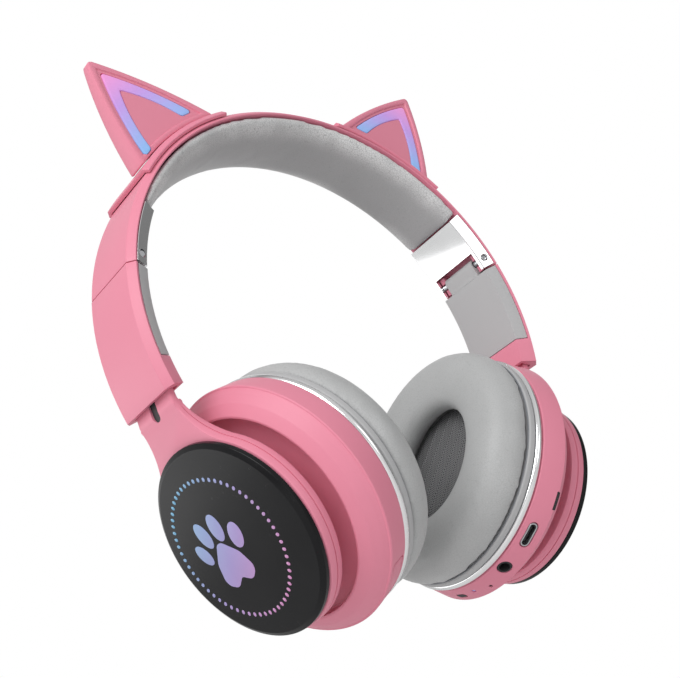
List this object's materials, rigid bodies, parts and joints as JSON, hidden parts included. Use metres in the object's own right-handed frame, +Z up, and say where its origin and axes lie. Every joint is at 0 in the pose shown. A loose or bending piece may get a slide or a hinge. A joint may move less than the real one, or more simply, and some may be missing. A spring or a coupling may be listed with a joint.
{
  "type": "gaming headset",
  "caption": "Folding over-ear headset with a padded headband, two lit cat ears, sliding yokes, leaning ear cups with soft cushions, sockets on one cup and keys on the other.",
  "frame": {"origin": "on the ground, midway between the two ear cups, at the centre of the whole box", "axes": "+Z up toward the ears, +X toward the cup with the sockets, -Y the way the wearer faces"},
  "size_m": [0.16, 0.0808, 0.1893],
  "materials": {
    "pink": "satin",
    "grey": "satin",
    "pad": "soft grain",
    "cushion": "soft grain",
    "chrome": "polished",
    "steel": "satin",
    "black": "gloss",
    "dark": "matt",
    "mesh": "woven",
    "light": "lit diffuser",
    "board": "lacquered board",
    "cell": "wrapped cell"
  },
  "bodies": {
    "headband": {"headband_shell": "pink", "spring_strip": "steel", "headband_pad": "pad", "ear_saddle_R": "pink", "ear_shell_R": "pink", "ear_light_R": "light", "hinge_bracket_R": "chrome", "hinge_pin_R": "steel", "ear_saddle_L": "pink", "ear_shell_L": "pink", "ear_light_L": "light", "hinge_bracket_L": "chrome", "hinge_pin_L": "steel"},
    "arm_R": {"arm_shell_R": "pink", "arm_cover_R": "grey"},
    "yoke_R": {"yoke_R": "pink", "face_disc_R": "black", "lamp_board_R": "board"},
    "collar_R": {"swivel_collar_R": "dark"},
    "cup_R": {"cup_shell_R": "pink", "trim_ring_R": "chrome", "baffle_R": "grey", "driver_R": "steel", "speaker_cloth_R": "mesh", "ear_cushion_R": "cushion", "baffle_screw_R_1": "steel", "baffle_screw_R_2": "steel", "baffle_screw_R_3": "steel", "charging_port": "steel", "audio_jack": "dark", "card_slot": "dark", "microphone": "dark", "status_light": "light", "main_board": "board"},
    "arm_L": {"arm_shell_L": "pink", "arm_cover_L": "grey"},
    "yoke_L": {"yoke_L": "pink", "face_disc_L": "black", "lamp_board_L": "board"},
    "collar_L": {"swivel_collar_L": "dark"},
    "cup_L": {"cup_shell_L": "pink", "trim_ring_L": "chrome", "baffle_L": "grey", "driver_L": "steel", "speaker_cloth_L": "mesh", "ear_cushion_L": "cushion", "baffle_screw_L_1": "steel", "baffle_screw_L_2": "steel", "baffle_screw_L_3": "steel", "battery": "cell", "key_board": "board"},
    "key_volume_down": {"key_volume_down": "pink"},
    "key_power": {"key_power": "pink"},
    "key_volume_up": {"key_volume_up": "pink"},
    "key_light": {"key_light": "dark"}
  },
  "joints": [
    {"name": "fold_R", "type": "hinge", "parent": "headband", "child": "arm_R", "pos_m": [0.07176, 0, 0.11684], "axis": [0, -1, 0], "range_deg": [-4, 0]},
    {"name": "slide_R", "type": "slide", "parent": "arm_R", "child": "yoke_R", "axis": [-0.0958, 0, -0.9954], "range_m": [0, 0.022]},
    {"name": "swivel_R", "type": "hinge", "parent": "yoke_R", "child": "collar_R", "pos_m": [0.04967, 0, 0.0343], "axis": [0.3971, 0, 0.9178], "range_deg": [-6, 6]},
    {"name": "tilt_R", "type": "hinge", "parent": "collar_R", "child": "cup_R", "pos_m": [0.04967, 0, 0.0343], "axis": [0, 1, 0], "range_deg": [-6, 6]},
    {"name": "fold_L", "type": "hinge", "parent": "headband", "child": "arm_L", "pos_m": [-0.07176, 0, 0.11684], "axis": [0, 1, 0], "range_deg": [-4, 0]},
    {"name": "slide_L", "type": "slide", "parent": "arm_L", "child": "yoke_L", "axis": [0.0958, 0, -0.9954], "range_m": [0, 0.022]},
    {"name": "swivel_L", "type": "hinge", "parent": "yoke_L", "child": "collar_L", "pos_m": [-0.04967, 0, 0.0343], "axis": [-0.3971, 0, 0.9178], "range_deg": [-6, 6]},
    {"name": "tilt_L", "type": "hinge", "parent": "collar_L", "child": "cup_L", "pos_m": [-0.04967, 0, 0.0343], "axis": [0, -1, 0], "range_deg": [-6, 6]},
    {"name": "press_volume_down", "type": "slide", "parent": "cup_L", "child": "key_volume_down", "axis": [-0.3963, -0.0671, 0.9157], "range_m": [0, 0.0006], "stiffness_N_per_m": 900},
    {"name": "press_power", "type": "slide", "parent": "cup_L", "child": "key_power", "axis": [-0.3863, 0.2326, 0.8926], "range_m": [0, 0.0006], "stiffness_N_per_m": 900},
    {"name": "press_volume_up", "type": "slide", "parent": "cup_L", "child": "key_volume_up", "axis": [-0.3413, 0.5113, 0.7887], "range_m": [0, 0.0006], "stiffness_N_per_m": 900},
    {"name": "press_light", "type": "slide", "parent": "cup_R", "child": "key_light", "axis": [0.3845, -0.2504, 0.8885], "range_m": [0, 0.0006], "stiffness_N_per_m": 900}
  ]
}
